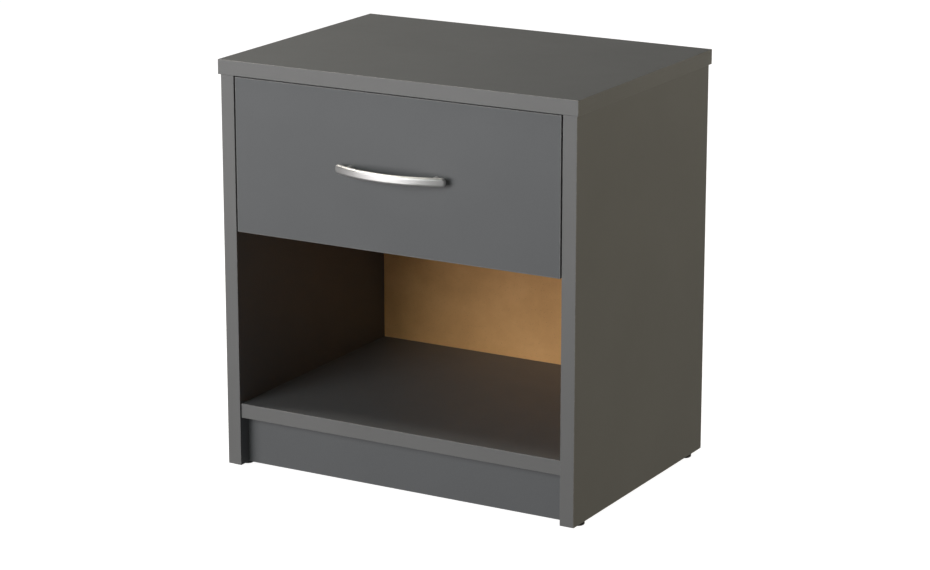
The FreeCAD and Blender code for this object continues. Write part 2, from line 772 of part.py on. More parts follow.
def make_drawer_front():
    """The drawer front: handle holes, bolt and dowel holes, base groove, and four bands."""
    left = f"-1 * {FRONT_WIDTH} / 2"
    core_width = f"{FRONT_WIDTH} - 2 * band"
    core_height = f"{FRONT_HEIGHT} - 2 * band"
    front = board_body(
        "drawer_front", f"{left} + band", "front_edge", f"{FRONT_LOW} + band", core_width, "board", core_height
    )
    centre = f"({core_width}) / 2"
    level = f"({core_height}) / 2 + handle_rise"
    posts = [(f"{centre} {sign} hole_spacing / 2", level) for sign in "-+"]
    drill(front, "+Y", "board", "handle_hole_radius", "board", posts)
    columns = [f"{centre} {sign} ({BOX_HALF} - box_board / 2)" for sign in "-+"]
    rise = "box_bottom - front_bottom - band"
    bolts = [(x, f"{rise} + {up}") for x in columns for up in ("box_cam_low", "box_cam_high")]
    drill(front, "+Y", "board", "bolt_thread_radius", "bolt_thread_depth", bolts)
    dowels = [(x, f"{rise} + box_dowel_rise") for x in columns]
    drill(front, "+Y", "board", "dowel_radius", "dowel_face_depth", dowels)
    half_groove = f"({BOX_HALF} - box_board + groove_depth)"
    low = f"{rise} + groove_rise"
    mill(
        front, "+Y", "board", "groove_depth",
        f"{centre} - {half_groove}", low, f"{centre} + {half_groove}", f"{low} + base_thickness",
    )
    right = f"{FRONT_WIDTH} / 2 - band"
    top = f"{FRONT_LOW} + {FRONT_HEIGHT} - band"
    band_body("drawer_band_bottom", left, "front_edge", FRONT_LOW, FRONT_WIDTH, "board", "band", "-Z")
    band_body("drawer_band_top", left, "front_edge", top, FRONT_WIDTH, "board", "band", "+Z")
    above = f"{FRONT_LOW} + band"
    band_body("drawer_band_left", left, "front_edge", above, "band", "board", core_height, "-X")
    band_body("drawer_band_right", right, "front_edge", above, "band", "board", core_height, "+X")


def make_drawer_side(name):
    """A drawer side: cams towards the front, base groove inside, screw holes towards the back."""
    sign = SIDES[name]
    corner = f"-1 * {BOX_HALF}" if name == "left" else f"{BOX_HALF} - box_board"
    side = board_body(
        f"drawer_side_{name}", corner, BOX_FRONT, BOX_LOW, "box_board", "box_length", "box_height"
    )
    outer = f"{sign}X"
    inner = f"{opposite(sign)}X"
    heights = ("box_cam_low", "box_cam_high")
    drill(side, outer, "box_board", "cam_radius", "box_cam_depth", [("cam_setback", up) for up in heights])
    drill(side, "-Y", "box_length", "bolt_bore_radius", "cam_setback", [("box_board / 2", up) for up in heights])
    dowel_hole = [("box_board / 2", "box_dowel_rise")]
    drill(side, "-Y", "box_length", "dowel_radius", "dowel_edge_depth", dowel_hole)
    low = "groove_rise"
    mill(side, inner, "box_board", "groove_depth", "0", low, "box_length", f"{low} + base_thickness")
    back_line = "box_length - box_board / 2"
    rise = "groove_rise + base_thickness"
    places = [(back_line, f"{rise} + {up}") for up in ("back_screw_low", "back_screw_high")]
    drill(side, outer, "box_board", "back_screw_radius", "box_board", places)
    drill(side, outer, "box_board", "back_screw_head_radius", "back_screw_head_depth", places)


def make_drawer_back():
    """The drawer back between the sides, standing on the base, and its four screws."""
    width = f"(2 * ({BOX_HALF} - box_board))"
    rise = "groove_rise + base_thickness"
    front = f"{BOX_FRONT} + box_length - box_board"
    back = board_body(
        "drawer_back", f"-1 * {width} / 2", front, f"{BOX_LOW} + {rise}", width, "box_board",
        f"box_height - ({rise})",
    )
    holes = [("box_board / 2", up) for up in ("back_screw_low", "back_screw_high")]
    depth = "back_screw_length - box_board + back_screw_head_depth"
    screws = []
    for sign in SIDES.values():
        drill(back, f"{sign}X", width, "back_screw_radius", depth, holes)
        for x, up in holes:
            seat = (
                f"0 {sign} ({BOX_HALF} - back_screw_head_depth)",
                f"{front} + box_board / 2",
                f"{BOX_LOW} + {rise} + {up}",
            )
            screws += headed(
                f"{opposite(sign)}X", seat, "back_screw_radius", "back_screw_length",
                "back_screw_head_radius - 0.1", "back_screw_head_depth - 0.2",
            )
    gather("drawer_back_screws", screws)


def make_drawer_base():
    """The thin base in its grooves, running under the drawer back."""
    half = f"({BOX_HALF} - box_board + groove_depth - base_play)"
    board_body(
        "drawer_bottom", f"-1 * {half}", f"{BOX_FRONT} - groove_depth + base_play", f"{BOX_LOW} + groove_rise",
        f"2 * {half}", "box_length + groove_depth - base_play", "base_thickness",
    )


def make_drawer_joinery():
    """Cam bolts, cams and dowels between the drawer front and the drawer sides."""
    bolts = []
    cams = []
    dowels = []
    for sign in SIDES.values():
        column = f"0 {sign} ({BOX_HALF} - box_board / 2)"
        for up in ("box_cam_low", "box_cam_high"):
            level = f"{BOX_LOW} + {up}"
            bolts += cam_bolt("+Y", (column, BOX_FRONT, level))
            mouth = (f"0 {sign} {BOX_HALF}", f"{BOX_FRONT} + cam_setback", level)
            cams.append(cam_lock(f"{sign}X", mouth, "box_cam_depth", "+Y"))
        dowels.append(dowel("+Y", (column, BOX_FRONT, f"{BOX_LOW} + box_dowel_rise")))
    gather("drawer_cam_bolts", bolts)
    gather("drawer_cam_locks", cams)
    gather("drawer_dowels", dowels)


def make_handle():
    """The bow handle: a rounded bar bent to a circular arc, on two posts with screws."""
    bend_radius = "((bow_half_chord ^ 2 + bow_rise ^ 2) / (2 * bow_rise))"
    bar = new_body(
        "handle_bar", "0", f"front_edge - bow_end_reach - bow_rise + {bend_radius}", HANDLE_HEIGHT
    )
    sketch = new_sketch(bar, "X")
    draw_rectangle(
        sketch, f"-1 * {bend_radius} - bow_thickness / 2", "-1 * bow_height / 2",
        f"-1 * {bend_radius} + bow_thickness / 2", "bow_height / 2",
    )
    bow = bar.newObject("PartDesign::Revolution", "handle_bar_bow")
    bow.Profile = sketch
    bow.ReferenceAxis = (sketch, ["V_Axis"])
    bow.Midplane = True
    bind(bow, Angle=f"2 * asin(bow_half_chord / {bend_radius})")
    doc.recompute()
    near_end = SIZES["bow_half_chord"] / 2
    round_edges(bar, "bow_end_round", lambda point: abs(point.x) > near_end and abs(point.z) > 1.0)
    round_edges(bar, "bow_round", lambda point: True)
    screws = []
    for name, sign in SIDES.items():
        column = f"0 {sign} hole_spacing / 2"
        foot = (column, "front_edge", HANDLE_HEIGHT)
        stem = rod("-Y", foot, "0", "post_radius", "post_length")
        bore = rod("-Y", foot, "0", "handle_screw_radius", "post_bore_depth")
        tools = doc.addObject("Part::MultiFuse", "PostCuts")
        tools.Shapes = [bore, bar]
        post = doc.addObject("Part::Cut", f"handle_post_{name}")
        post.Base = stem
        post.Tool = tools
        keep(post, f"handle_post_{name}")
        seat = (column, BOX_FRONT, HANDLE_HEIGHT)
        screws += headed(
            "-Y", seat, "handle_screw_radius", "board + post_bore_depth - 0.3",
            "handle_screw_head_radius", "handle_screw_head_height",
        )
    gather("handle_screws", screws)


# --- build, check and write -------------------------------------------------------------------

make_top()
make_shelf()
make_plinth()
make_back()
make_carcass_joinery()
make_glides()
make_drawer_front()
make_drawer_back()
make_drawer_base()
make_drawer_joinery()
make_handle()
for hand in SIDES:
    make_side(hand)
    make_cabinet_runner(hand)
    make_drawer_runner(hand)
    make_drawer_side(hand)
    for holder in ("cabinet", "drawer"):
        make_roller(hand, holder)
make_rivets()
make_runner_screws()
doc.recompute()

for item in doc.Objects:
    if "Invalid" in item.State or "Error" in item.State:
        raise RuntimeError(f"{item.Label} failed: {item.State}")
for item in subparts:
    if item.Shape.isNull() or not item.Shape.isValid():
        raise RuntimeError(f"{item.Label} has no valid shape")

os.makedirs("parts", exist_ok=True)
for item in subparts:
    item.Shape.exportStep(f"parts/{item.Label}.step")
print(f"{len(subparts)} sub-parts written")
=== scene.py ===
import math

import bpy
from mathutils import Matrix, Vector


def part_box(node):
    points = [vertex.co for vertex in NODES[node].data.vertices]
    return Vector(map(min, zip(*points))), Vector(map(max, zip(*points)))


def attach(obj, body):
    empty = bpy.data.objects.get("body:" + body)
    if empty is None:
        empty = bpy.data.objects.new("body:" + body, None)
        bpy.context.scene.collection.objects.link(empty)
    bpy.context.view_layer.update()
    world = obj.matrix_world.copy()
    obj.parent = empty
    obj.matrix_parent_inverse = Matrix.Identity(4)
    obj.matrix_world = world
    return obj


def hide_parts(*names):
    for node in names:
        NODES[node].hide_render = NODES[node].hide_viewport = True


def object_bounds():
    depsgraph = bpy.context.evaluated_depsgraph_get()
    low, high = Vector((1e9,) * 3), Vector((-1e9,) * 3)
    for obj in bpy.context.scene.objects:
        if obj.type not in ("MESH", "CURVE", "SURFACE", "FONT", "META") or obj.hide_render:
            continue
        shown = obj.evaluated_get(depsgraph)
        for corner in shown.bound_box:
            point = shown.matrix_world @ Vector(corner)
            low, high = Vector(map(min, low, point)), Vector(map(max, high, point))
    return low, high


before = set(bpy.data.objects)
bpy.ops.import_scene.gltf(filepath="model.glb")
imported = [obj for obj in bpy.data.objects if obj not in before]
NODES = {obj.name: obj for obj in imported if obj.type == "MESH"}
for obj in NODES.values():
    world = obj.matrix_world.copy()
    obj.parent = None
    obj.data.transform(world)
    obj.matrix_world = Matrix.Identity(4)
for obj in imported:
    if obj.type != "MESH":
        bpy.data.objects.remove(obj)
CAD_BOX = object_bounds()
MM = 0.001
CENTRE = (CAD_BOX[0] + CAD_BOX[1]) / 2

# The looks of a small bedside table: a drawer above an open compartment, in grey faced chipboard.
# Its screws, the nails of its back, its cam bolts and its dowels are replaced by detailed ones.
# Every other CAD node keeps its own shape and gets a material.

# --- camera -----------------------------------------------------------------------------------
# A long lens to the front right of the table, a little above its top, looking slightly down.

CAMERA_AT = Vector((1.4891, -2.5996, 1.0091))
CAMERA_AIM = Vector((0.0060, -0.0035, 0.1891))
CAMERA_LENS = 119.40

camera_data = bpy.data.cameras.new("Camera")
camera_data.lens = CAMERA_LENS
camera_data.sensor_width = 36.0
camera_data.clip_start = 0.05
camera_data.clip_end = 60.0
camera = bpy.data.objects.new("Camera", camera_data)
camera.location = CAMERA_AT
camera.rotation_euler = (CAMERA_AIM - CAMERA_AT).to_track_quat("-Z", "Y").to_euler()
bpy.context.scene.collection.objects.link(camera)
bpy.context.scene.camera = camera


# --- light and floor --------------------------------------------------------------------------
# Two soft lights in front, to the left of the camera, a warm one at the right, one high at the left
# and a faint one behind.


def softbox(name, azimuth, elevation, distance, width, height, level, colour):
    """A rectangular studio light aimed at the table.

    azimuth 0 is in front of the table and 90 at its right. level is the radiance that the light
    alone gives to a white surface facing it.
    """
    turn, lift = math.radians(azimuth), math.radians(elevation)
    way = Vector((math.sin(turn) * math.cos(lift), -math.cos(turn) * math.cos(lift), math.sin(lift)))
    data = bpy.data.lights.new(name, "AREA")
    data.shape = "RECTANGLE"
    data.size = width
    data.size_y = height
    data.energy = math.pi ** 2 * level * distance ** 2
    data.color = colour
    light = bpy.data.objects.new(name, data)
    light.location = CENTRE + way * distance
    light.rotation_euler = (-way).to_track_quat("-Z", "Y").to_euler()
    bpy.context.scene.collection.objects.link(light)


# name, azimuth, elevation, distance, width, height, level, colour
LIGHTS = [
    ("KeyLow", -26, 5, 2.3, 1.5, 0.8, 0.395, (1.0, 0.97, 0.98)),
    ("KeyHigh", -13, 21, 2.3, 1.35, 0.8, 0.335, (0.94, 1.0, 0.98)),
    ("LeftHigh", 270, 55, 2.4, 1.0, 1.0, 0.82, (1.0, 0.96, 0.87)),
    ("RightFill", 105, 8, 2.6, 1.0, 1.0, 0.40, (1.0, 0.88, 0.62)),
    ("RearFill", 178, 3, 2.6, 1.0, 1.0, 0.20, (1.0, 1.0, 0.98)),
]
for light in LIGHTS:
    softbox(*light)

SKY_LEVEL = 0.035
GROUND_LEVEL = 0.17
HORIZON_BAND = 0.15


def make_world():
    """Faint light from all round, brighter from below, as a pale floor throws it back."""
    world = bpy.data.worlds.new("Studio")
    world.use_nodes = True
    tree = world.node_tree
    place = tree.nodes.new("ShaderNodeTexCoord")
    axes = tree.nodes.new("ShaderNodeSeparateXYZ")
    level = tree.nodes.new("ShaderNodeMapRange")
    level.inputs["From Min"].default_value = -HORIZON_BAND
    level.inputs["From Max"].default_value = HORIZON_BAND
    level.inputs["To Min"].default_value = GROUND_LEVEL
    level.inputs["To Max"].default_value = SKY_LEVEL
    tree.links.new(place.outputs["Generated"], axes.inputs["Vector"])
    tree.links.new(axes.outputs["Z"], level.inputs["Value"])
    tree.links.new(level.outputs["Result"], tree.nodes["Background"].inputs["Strength"])
    tree.nodes["Background"].inputs["Color"].default_value = (1.0, 1.0, 1.0, 1.0)
    bpy.context.scene.world = world


make_world()
bpy.context.scene.view_settings.view_transform = "Standard"

INNER_RADIUS = 3.0
FLOOR_RADIUS = 14.0
COVE_RADIUS = 5.0
WALL_HEIGHT = 15.0
RINGS = 24
SECTORS = 96


def make_floor():
    """A wide white floor that curves up far away into a wall, so that it has no horizon."""
    profile = [(0.0, 0.0), (INNER_RADIUS, 0.0), (FLOOR_RADIUS, 0.0)]
    for step in range(1, RINGS + 1):
        bend = math.pi / 2 * step / RINGS
        rise = COVE_RADIUS * (1 - math.cos(bend))
        profile.append((FLOOR_RADIUS + COVE_RADIUS * math.sin(bend), rise))
    profile.append((FLOOR_RADIUS + COVE_RADIUS, WALL_HEIGHT))
    vertices = [(0.0, 0.0, 0.0)]
    faces = []
    for radius, height in profile[1:]:
        for sector in range(SECTORS):
            angle = 2 * math.pi * sector / SECTORS
            vertices.append((radius * math.cos(angle), radius * math.sin(angle), height))
    for sector in range(SECTORS):
        following = (sector + 1) % SECTORS
        faces.append((0, 1 + sector, 1 + following))
        for ring in range(len(profile) - 2):
            near = 1 + ring * SECTORS
            far = near + SECTORS
            faces.append((near + sector, far + sector, far + following, near + following))
    mesh = bpy.data.meshes.new("Floor")
    mesh.from_pydata(vertices, [], faces)
    mesh.shade_smooth()
    floor = bpy.data.objects.new("Floor", mesh)
    bpy.context.scene.collection.objects.link(floor)
    return floor


# --- materials --------------------------------------------------------------------------------
# The colour mix node has several sockets of one name, so they are picked by number.

MIX_SHARE = 0
MIX_LOW = 6
MIX_HIGH = 7
MIX_RESULT = 2


class Finish:
    """A material: a Principled shader fed by patterns in the piece's own coordinates."""

    def __init__(self, name, **constants):
        self.material = bpy.data.materials.new(name)
        self.material.use_nodes = True
        self.tree = self.material.node_tree
        self.shader = self.tree.nodes["Principled BSDF"]
        for socket, value in constants.items():
            self.shader.inputs[socket.replace("_", " ")].default_value = value
        self.place = self.node("ShaderNodeTexCoord").outputs["Object"]
        self.axes = self.node("ShaderNodeSeparateXYZ", {"Vector": self.place}).outputs

    def feed(self, socket, value):
        if isinstance(value, bpy.types.NodeSocket):
            self.tree.links.new(value, socket)
        else:
            socket.default_value = value

    def node(self, kind, sockets=(), **settings):
        made = self.tree.nodes.new(kind)
        for key, value in settings.items():
            setattr(made, key, value)
        for key, value in dict(sockets).items():
            self.feed(made.inputs[key], value)
        return made

    def maths(self, operation, *values):
        made = self.node("ShaderNodeMath", operation=operation)
        for socket, value in zip(made.inputs, values):
            self.feed(socket, value)
        return made.outputs["Value"]

    def stretched(self, stretch):
        """Coordinates in which a pattern comes out longer by these factors along x, y and z."""
        scale = tuple(1.0 / factor for factor in stretch)
        return self.node("ShaderNodeMapping", {"Vector": self.place, "Scale": scale}).outputs["Vector"]

    def noise(self, size, detail=2.0, roughness=0.5, stretch=(1, 1, 1), distortion=0.0):
        """Smooth random blotches about size metres across, as a value near 0.5."""
        sockets = {
            "Vector": self.stretched(stretch),
            "Scale": 1.0 / size,
            "Detail": detail,
            "Roughness": roughness,
            "Distortion": distortion,
        }
        return self.node("ShaderNodeTexNoise", sockets).outputs["Fac"]

    def cells(self, size, output, stretch=(1, 1, 1)):
        """Random cells about size metres across: their Color or the Distance from their middle."""
        sockets = {"Vector": self.stretched(stretch), "Scale": 1.0 / size}
        return self.node("ShaderNodeTexVoronoi", sockets).outputs[output]

    def fit(self, value, from_low, from_high, to_low=0.0, to_high=1.0):
        """Map a value from one range to another, held at the ends."""
        sockets = {
            "Value": value,
            "From Min": from_low,
            "From Max": from_high,
            "To Min": to_low,
            "To Max": to_high,
        }
        return self.node("ShaderNodeMapRange", sockets).outputs["Result"]

    def blend(self, share, low, high):
        """A colour between two: low where share is 0 and high where it is 1."""
        made = self.node("ShaderNodeMix", data_type="RGBA")
        for index, value in ((MIX_SHARE, share), (MIX_LOW, low), (MIX_HIGH, high)):
            if isinstance(value, tuple) and len(value) == 3:
                value = (*value, 1.0)
            self.feed(made.inputs[index], value)
        return made.outputs[MIX_RESULT]

    def ramp(self, value, stops):
        """A colour read off a row of (position, colour) stops."""
        made = self.node("ShaderNodeValToRGB", {"Fac": value})
        row = made.color_ramp.elements
        while len(row) < len(stops):
            row.new(0.5)
        for stop, (position, colour) in zip(row, stops):
            stop.position = position
            stop.color = (*colour, 1.0)
        return made.outputs["Color"]

    def bump(self, height, depth, under=None):
        """Normals for a relief whose height from 0 to 1 stands for depth metres."""
        sockets = {"Height": height, "Distance": depth, "Strength": 1.0}
        if under is not None:
            sockets["Normal"] = under
        return self.node("ShaderNodeBump", sockets).outputs["Normal"]

    def nearness(self, planes, reach):
        """1 on any of the planes (axis index, position), and 0 further off than reach."""
        gaps = [self.maths("ABSOLUTE", self.maths("SUBTRACT", self.axes[axis], at)) for axis, at in planes]
        nearest = gaps[0]
        for gap in gaps[1:]:
            nearest = self.maths("MINIMUM", nearest, gap)
        return self.maths("LESS_THAN", nearest, reach)

    def edge_gap(self, low, high):
        """The distance on a box's surface from the box's nearest edge."""
        gaps = []
        for axis in range(3):
            below = self.maths("SUBTRACT", self.axes[axis], low[axis])
            above = self.maths("SUBTRACT", high[axis], self.axes[axis])
            gaps.append(self.maths("MINIMUM", below, above))
        first, second, third = gaps
        inner = self.maths("MINIMUM", self.maths("MAXIMUM", first, second), third)
        return self.maths("MAXIMUM", self.maths("MINIMUM", first, second), inner)

    def finish(self, colour, roughness=None, normal=None):
        """The material, with these fed into its shader."""
        sockets = {"Base Color": colour, "Roughness": roughness, "Normal": normal}
        for key, value in sockets.items():
            if value is not None:
                self.feed(self.shader.inputs[key], value)
        return self.material


def scaled(colour, factor):
    return tuple(channel * factor for channel in colour)


GREY = (0.122, 0.125, 0.129)
GREY_EDGE = (0.170, 0.168, 0.166)
GREY_END = scaled(GREY, 1.08)
PALE_GREY = (0.56, 0.56, 0.55)
FACING = 0.15 * MM


def chipboard(finish):
    """Colour and relief of raw chipboard: pressed flakes of many browns with dark gaps."""
    flakes = finish.cells(1.6 * MM, "Color", stretch=(1.6, 1.6, 1.0))
    shade = finish.node("ShaderNodeSeparateColor", {"Color": flakes}).outputs["Red"]
    colour = finish.ramp(shade, [
        (0.0, (0.27, 0.160, 0.075)),
        (0.35, (0.46, 0.305, 0.160)),
        (0.7, (0.60, 0.430, 0.245)),
        (1.0, (0.74, 0.570, 0.365)),
    ])
    gaps = finish.fit(finish.cells(1.1 * MM, "Distance"), 0.0, 0.7)
    colour = finish.blend(finish.fit(gaps, 0.60, 1.0, 0.0, 0.6), colour, (0.14, 0.085, 0.042))
    return colour, finish.maths("SUBTRACT", 1.0, gaps)


def faced_board(name, node, skins, tone, grain):
    """A chipboard board: melamine or foil on the named sides, raw flakes on the others.

    skins is a row of signs and axes such as "-x +x". grain is the relief of the facing in metres.
    """
    low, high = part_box(node)
    finish = Finish(name, Specular_IOR_Level=0.4)
    planes = []
    for side in skins.split():
        axis = "xyz".index(side[1])
        planes.append((axis, high[axis] if side[0] == "+" else low[axis]))
    faced = finish.nearness(planes, FACING)
    edge = finish.edge_gap(low, high)

    cloud = finish.noise(0.11, detail=3.0)
    speck = finish.noise(0.55 * MM, detail=2.0, roughness=0.6)
    facing = finish.blend(finish.fit(cloud, 0.3, 0.7), scaled(tone, 0.97), scaled(tone, 1.035))
    facing = finish.blend(finish.fit(speck, 0.38, 0.72, 0.0, 0.24), facing, scaled(tone, 1.5))
    nicks = finish.fit(finish.noise(3.5 * MM, detail=4.0, roughness=0.65), 0.54, 0.68)
    rub = finish.fit(edge, 0.2 * MM, 1.3 * MM, 1.0, 0.0)
    wear = finish.maths("MULTIPLY", nicks, rub)
    facing = finish.blend(finish.maths("MULTIPLY", wear, 0.35), facing, scaled(tone, 2.2))

    raw, raw_height = chipboard(finish)
    colour = finish.blend(faced, raw, facing)
    smudge = finish.fit(finish.noise(0.045, detail=4.0, roughness=0.6), 0.3, 0.7, 0.49, 0.53)
    gloss = finish.maths("ADD", smudge, finish.maths("MULTIPLY", wear, 0.12))
    gloss = finish.blend(faced, (0.85, 0.85, 0.85), gloss)
    pearl = finish.maths("MULTIPLY", finish.noise(0.9 * MM, detail=2.5, roughness=0.55), grain / MM)
    rough = finish.maths("MULTIPLY", raw_height, 0.22)
    height = finish.blend(faced, rough, pearl)
    return finish.finish(colour, gloss, finish.bump(height, MM))


def banding(name, node, tone):
    """A plastic edge band: smooth, with fine drawn lines along it and rubbed corners."""
    low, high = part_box(node)
    size = high - low
    longest = max(range(3), key=lambda axis: size[axis])
    stretch = [1.0, 1.0, 1.0]
    stretch[longest] = 60.0
    finish = Finish(name, Specular_IOR_Level=0.45)
    lines = finish.noise(0.5 * MM, detail=2.0, stretch=stretch)
    cloud = finish.noise(0.08, detail=2.0)
    speck = finish.noise(0.6 * MM, detail=2.0, roughness=0.6)
    colour = finish.blend(finish.fit(cloud, 0.3, 0.7), scaled(tone, 0.97), scaled(tone, 1.03))
    colour = finish.blend(finish.fit(speck, 0.4, 0.8, 0.0, 0.10), colour, scaled(tone, 1.5))
    nicks = finish.fit(finish.noise(2.5 * MM, detail=4.0, roughness=0.65), 0.52, 0.66)
    rub = finish.fit(finish.edge_gap(low, high), 0.15 * MM, 0.9 * MM, 1.0, 0.0)
    wear = finish.maths("MULTIPLY", nicks, rub)
    colour = finish.blend(finish.maths("MULTIPLY", wear, 0.4), colour, scaled(tone, 1.9))
    gloss = finish.fit(lines, 0.3, 0.7, 0.40, 0.50)
    relief = finish.blend(0.5, lines, speck)
    return finish.finish(colour, gloss, finish.bump(relief, 0.02 * MM))


def hardboard(name, rear_plane=None):
    """Brown pressed fibreboard, smooth in front; the face at rear_plane has a wire mesh's print."""
    finish = Finish(name, Specular_IOR_Level=0.3)
    cloud = finish.noise(0.05, detail=4.0, roughness=0.6)
    fibres = finish.noise(0.7 * MM, detail=5.0, roughness=0.7, distortion=1.6)
    colour = finish.ramp(finish.fit(cloud, 0.32, 0.68), [
        (0.0, (0.590, 0.305, 0.108)),
        (0.5, (0.655, 0.342, 0.125)),
        (1.0, (0.720, 0.385, 0.150)),
    ])
    colour = finish.blend(finish.fit(fibres, 0.40, 0.75, 0.0, 0.55), colour, (0.78, 0.46, 0.185))
    flecks = finish.fit(finish.cells(2.3 * MM, "Distance", stretch=(1.7, 1.0, 1.0)), 0.05, 0.16, 0.5, 0.0)
    colour = finish.blend(flecks, colour, (0.19, 0.105, 0.045))
    gloss = finish.fit(fibres, 0.3, 0.7, 0.56, 0.70)
    normal = finish.bump(fibres, 0.05 * MM)
    if rear_plane is not None:
        pitch = 2 * math.pi / (1.3 * MM)
        along = finish.maths("SINE", finish.maths("MULTIPLY", finish.axes[0], pitch))
        up = finish.maths("SINE", finish.maths("MULTIPLY", finish.axes[2], pitch))
        weave = finish.maths("MAXIMUM", along, up)
        rear = finish.nearness([(1, rear_plane)], FACING)
        height = finish.maths("MULTIPLY", rear, weave)
        normal = finish.bump(height, 0.12 * MM, normal)
        colour = finish.blend(finish.maths("MULTIPLY", rear, 0.35), colour, (0.20, 0.12, 0.06))
    return finish.finish(colour, gloss, normal)


def satin_metal(name, tone, gloss_low, gloss_high, line_size, stretch, relief):
    """Metal with fine drawn lines and uneven gloss."""
    finish = Finish(name, Metallic=1.0)
    lines = finish.noise(line_size, detail=3.0, roughness=0.6, stretch=stretch)
    cloud = finish.noise(8 * MM, detail=2.0)
    colour = finish.blend(finish.fit(lines, 0.25, 0.75), scaled(tone, 0.94), scaled(tone, 1.05))
    colour = finish.blend(finish.fit(cloud, 0.3, 0.7, 0.0, 0.12), colour, scaled(tone, 0.8))
    gloss = finish.fit(lines, 0.25, 0.75, gloss_low, gloss_high)
    return finish.finish(colour, gloss, finish.bump(lines, relief))


def moulded(name, tone, gloss, grain_size, relief, specular=0.5):
    """Moulded plastic or sprayed paint: even colour with a fine grain and slight scuffing."""
    finish = Finish(name, Specular_IOR_Level=specular)
    grain = finish.noise(grain_size, detail=3.0, roughness=0.6)
    scuff = finish.fit(finish.noise(4 * MM, detail=4.0, roughness=0.7), 0.5, 0.7)
    colour = finish.blend(finish.fit(grain, 0.3, 0.7), scaled(tone, 0.94), scaled(tone, 1.06))
    lift = tuple(min(1.0, channel * 1.15 + 0.02) for channel in tone)
    colour = finish.blend(finish.maths("MULTIPLY", scuff, 0.4), colour, lift)
    rough = finish.fit(scuff, 0.0, 1.0, gloss, gloss + 0.15)
    return finish.finish(colour, rough, finish.bump(grain, relief))


def wood(name, dark, light):
    """Plain light hardwood with dark pores."""
    finish = Finish(name, Specular_IOR_Level=0.35)
    grain = finish.noise(4 * MM, detail=4.0, roughness=0.65, distortion=1.2)
    pores = finish.fit(finish.cells(0.9 * MM, "Distance"), 0.04, 0.14, 0.6, 0.0)
    colour = finish.blend(finish.fit(grain, 0.3, 0.7), dark, light)
    colour = finish.blend(pores, colour, scaled(dark, 0.6))
    return finish.finish(colour, finish.fit(grain, 0.3, 0.7, 0.55, 0.7), finish.bump(grain, 0.04 * MM))


def give(material, *names):
    """Put one material in every slot of the named CAD nodes."""
    for name in names:
        for slot in NODES[name].material_slots:
            slot.material = material


def pair(stem):
    return f"{stem}_left", f"{stem}_right"


FLOOR_GLOW = 0.97
FLOOR_TONES = ((0.29, 0.29, 0.29), (0.30, 0.30, 0.30))
floor = make_floor()
floor_finish = Finish(
    "FloorWhite", Roughness=0.9, Specular_IOR_Level=0.0,
    Emission_Color=(1.0, 1.0, 1.0, 1.0), Emission_Strength=FLOOR_GLOW,
)
floor_cloud = floor_finish.fit(floor_finish.noise(0.8), 0.3, 0.7)
floor_tone = floor_finish.blend(floor_cloud, *FLOOR_TONES)
floor.data.materials.append(floor_finish.finish(floor_tone))
# The glow is for the camera alone: it neither lights the table nor shows in it.
floor.visible_diffuse = False
floor.visible_glossy = False

BOARDS = {
    "top_panel": "-z +z",
    "side_panel_left": "-x +x",
    "side_panel_right": "-x +x",
    "bottom_shelf": "-z +z",
    "plinth_board": "-y +y",
    "drawer_front": "-y +y",
}
for board, skins in BOARDS.items():
    give(faced_board(f"Melamine_{board}", board, skins, GREY, 0.05 * MM), board)

BANDS = [
    "top_band_front", *pair("top_band"), *pair("side_band"), "shelf_band",
    "drawer_band_top", "drawer_band_bottom", *pair("drawer_band"),
]
for band in BANDS:
    tone = GREY_END if band in pair("top_band") else GREY_EDGE
    give(banding(f"Banding_{band}", band, tone), band)

BOX_BOARDS = {"drawer_side_left": "-x +x +z", "drawer_side_right": "-x +x +z", "drawer_back": "-y +y +z"}
for board, skins in BOX_BOARDS.items():
    give(faced_board(f"Foil_{board}", board, skins, PALE_GREY, 0.02 * MM), board)

give(hardboard("HardboardBack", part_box("back_panel")[1].y), "back_panel")
give(hardboard("HardboardBase"), "drawer_bottom")
NICKEL = satin_metal("SatinNickel", (0.76, 0.75, 0.74), 0.42, 0.52, 0.25 * MM, (40, 1, 1), 0.003 * MM)
give(NICKEL, "handle_bar", *pair("handle_post"))
ZINC = satin_metal("ZincCasting", (0.52, 0.53, 0.54), 0.38, 0.55, 0.8 * MM, (1, 1, 1), 0.02 * MM)
give(ZINC, "carcass_cam_locks", "drawer_cam_locks")
STEEL = satin_metal("PlatedSteel", (0.58, 0.58, 0.56), 0.22, 0.36, 0.5 * MM, (1, 1, 1), 0.006 * MM)
give(STEEL, "glide_nails", "cabinet_runner_rivets", "drawer_runner_rivets")
BEECH = wood("Beech", (0.52, 0.34, 0.19), (0.66, 0.47, 0.29))
GLIDE_BLACK = moulded("GlideBlack", (0.008, 0.008, 0.009), 0.50, 0.4 * MM, 0.01 * MM, specular=0.3)
give(GLIDE_BLACK, *pair("glide_front"), *pair("glide_rear"))
RUNNER_WHITE = moulded("RunnerWhite", (0.76, 0.76, 0.74), 0.34, 1.4 * MM, 0.02 * MM)
give(RUNNER_WHITE, *pair("cabinet_runner"), *pair("drawer_runner"))
NYLON = moulded("RollerNylon", (0.72, 0.72, 0.69), 0.38, 0.6 * MM, 0.008 * MM)
give(NYLON, *pair("cabinet_roller"), *pair("drawer_roller"))

# --- fasteners in detail ----------------------------------------------------------------------
# Each is a stack of rings (height, reach) along its own axis, in millimetres from its first end,
# closed at both ends. reach is a radius, or a function of the angle that gives one.

ARM_ANGLE = 13
STEPS = (0, ARM_ANGLE, 29, 45, 61, 90 - ARM_ANGLE)
ANGLES = [math.radians(90 * quarter + step) for quarter in range(4) for step in STEPS]
ARM_SLOPE = math.tan(math.radians(ARM_ANGLE))
SHARP = math.radians(32)

# Points of a CAD mesh that agree to this many decimals of a metre are the same point.
WELD_DIGITS = 6

